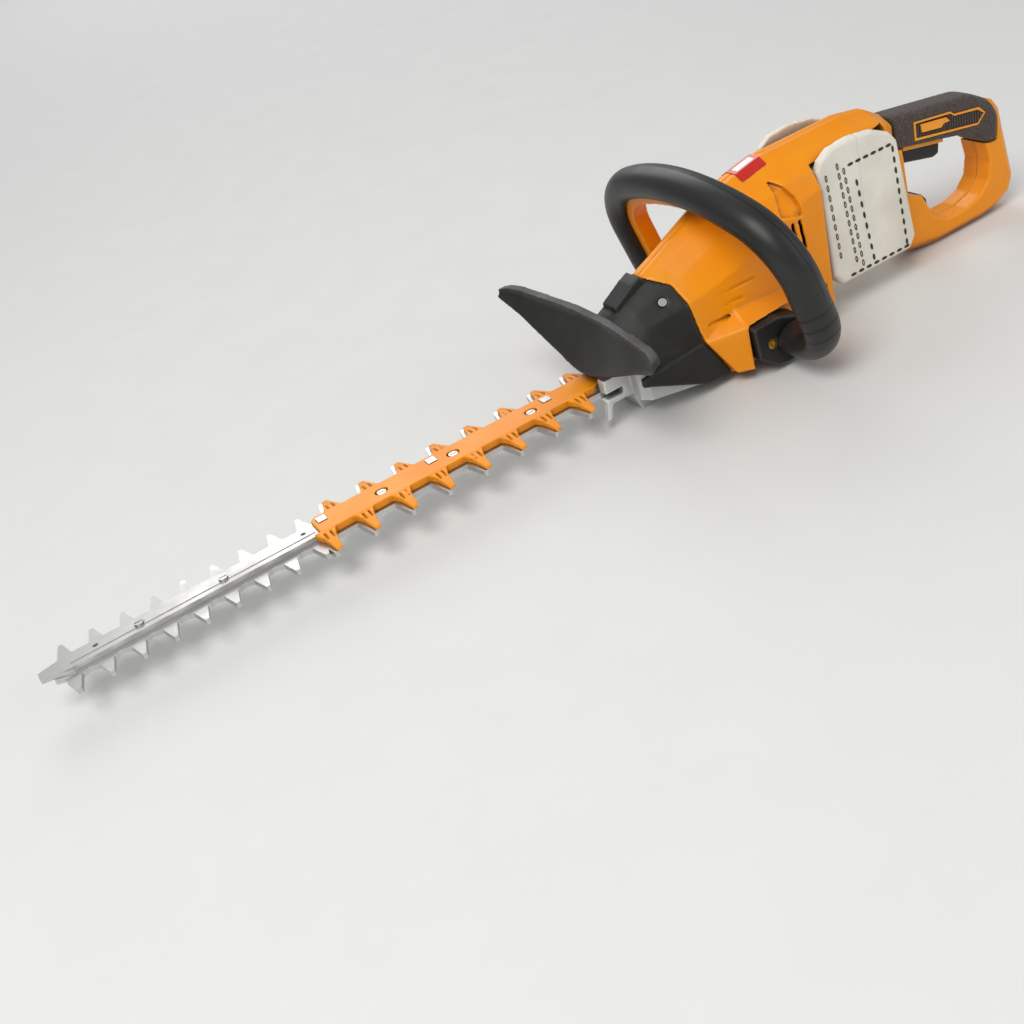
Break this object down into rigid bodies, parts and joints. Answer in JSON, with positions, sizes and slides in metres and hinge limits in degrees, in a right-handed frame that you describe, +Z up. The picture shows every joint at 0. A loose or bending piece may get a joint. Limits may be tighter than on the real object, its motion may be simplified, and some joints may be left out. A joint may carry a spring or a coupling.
{
  "type": "hedge trimmer",
  "caption": "Cordless two-handed hedge trimmer with a bail front handle, closed rear handle, slide-in battery pack and double-sided reciprocating blades under a toothed guard comb.",
  "frame": {"origin": "centre of the flat foot pad under the gear case, on the plane that the tool rests on", "axes": "+X forward along the blades, +Y to the left side of the tool, +Z up"},
  "size_m": [0.901, 0.244, 0.1636],
  "materials": {
    "amber_shell": "moulded amber-orange plastic, satin",
    "cast_alloy": "die-cast, light blast finish",
    "steel": "zinc-plated steel",
    "blade_steel": "ground spring steel",
    "bronze": "bronze",
    "motor_can": "dark plated can",
    "black_plastic": "black glass-filled plastic",
    "charcoal_plastic": "charcoal textured plastic",
    "grip_rubber": "soft brown-black overmould",
    "ivory_shell": "ivory plastic",
    "cell_wrap": "shrink-wrapped cells",
    "circuit_board": "coated board",
    "label_plate": "printed plate, blank"
  },
  "bodies": {
    "body": {"bail_bolts": "steel", "bail_foot_left": "charcoal_plastic", "bail_foot_right": "charcoal_plastic", "bail_handle": "charcoal_plastic", "bail_switch": "black_plastic", "battery_dock": "black_plastic", "blade_bolts": "steel", "blade_comb": "amber_shell", "blade_nuts": "steel", "board_tray": "black_plastic", "comb_clips": "steel", "control_board": "circuit_board", "dock_contacts": "bronze", "gear_bearing": "bronze", "gear_case": "cast_alloy", "gear_cover": "steel", "gear_cover_screws": "steel", "grip_pad_left": "grip_rubber", "grip_pad_right": "grip_rubber", "grip_strip": "amber_shell", "grip_trim_left": "amber_shell", "grip_trim_right": "amber_shell", "guard_screws": "steel", "guide_bar": "blade_steel", "hand_guard": "charcoal_plastic", "housing_left": "amber_shell", "housing_right": "amber_shell", "housing_screws": "steel", "latch_spring": "steel", "motor": "motor_can", "nose_cover": "charcoal_plastic", "nose_screws": "steel", "rear_grip": "grip_rubber", "top_label": "label_plate", "trigger_spring": "steel", "trigger_switch": "black_plastic"},
    "upper_blade": {"upper_blade": "blade_steel"},
    "lower_blade": {"lower_blade": "blade_steel"},
    "drive_gear": {"drive_gear": "steel"},
    "motor_rotor": {"motor_shaft": "steel", "cooling_fan": "black_plastic"},
    "trigger": {"trigger": "charcoal_plastic"},
    "bail_lever": {"bail_lever": "amber_shell"},
    "battery": {"battery_case_front": "ivory_shell", "battery_case_rear": "ivory_shell", "battery_cells": "cell_wrap"},
    "battery_latch": {"battery_latch": "black_plastic"}
  },
  "joints": [
    {"name": "upper_blade_slide", "type": "slide", "parent": "body", "child": "upper_blade", "axis": [1, 0, 0], "range_m": [-0.008, 0.008]},
    {"name": "lower_blade_slide", "type": "slide", "parent": "body", "child": "lower_blade", "axis": [1, 0, 0], "range_m": [-0.008, 0.008]},
    {"name": "drive_gear_spin", "type": "hinge", "parent": "body", "child": "drive_gear", "pos_m": [-0.014, 0, 0.036], "axis": [0, 0, 1], "continuous": true},
    {"name": "motor_spin", "type": "hinge", "parent": "body", "child": "motor_rotor", "pos_m": [-0.041, 0, 0.036], "axis": [0, 0, 1], "continuous": true},
    {"name": "trigger_press", "type": "slide", "parent": "body", "child": "trigger", "axis": [0, 0, 1], "range_m": [0, 0.005], "stiffness_N_per_m": 600, "springref_m": -0.002, "deforming": ["trigger_spring"]},
    {"name": "bail_lever_press", "type": "slide", "parent": "body", "child": "bail_lever", "axis": [0.2756, 0, 0.9613], "range_m": [0, 0.003], "stiffness_N_per_m": 800, "springref_m": -0.003},
    {"name": "battery_slide", "type": "slide", "parent": "body", "child": "battery", "axis": [0, 0, -1], "range_m": [0, 0.028]},
    {"name": "latch_press", "type": "slide", "parent": "body", "child": "battery_latch", "axis": [1, 0, 0], "range_m": [0, 0.003], "stiffness_N_per_m": 500, "springref_m": -0.002}
  ],
  "couplings": [
    {"joint": "lower_blade_slide", "follows": "upper_blade_slide", "ratio": -1},
    {"joint": "motor_spin", "follows": "drive_gear_spin", "ratio": -4}
  ]
}
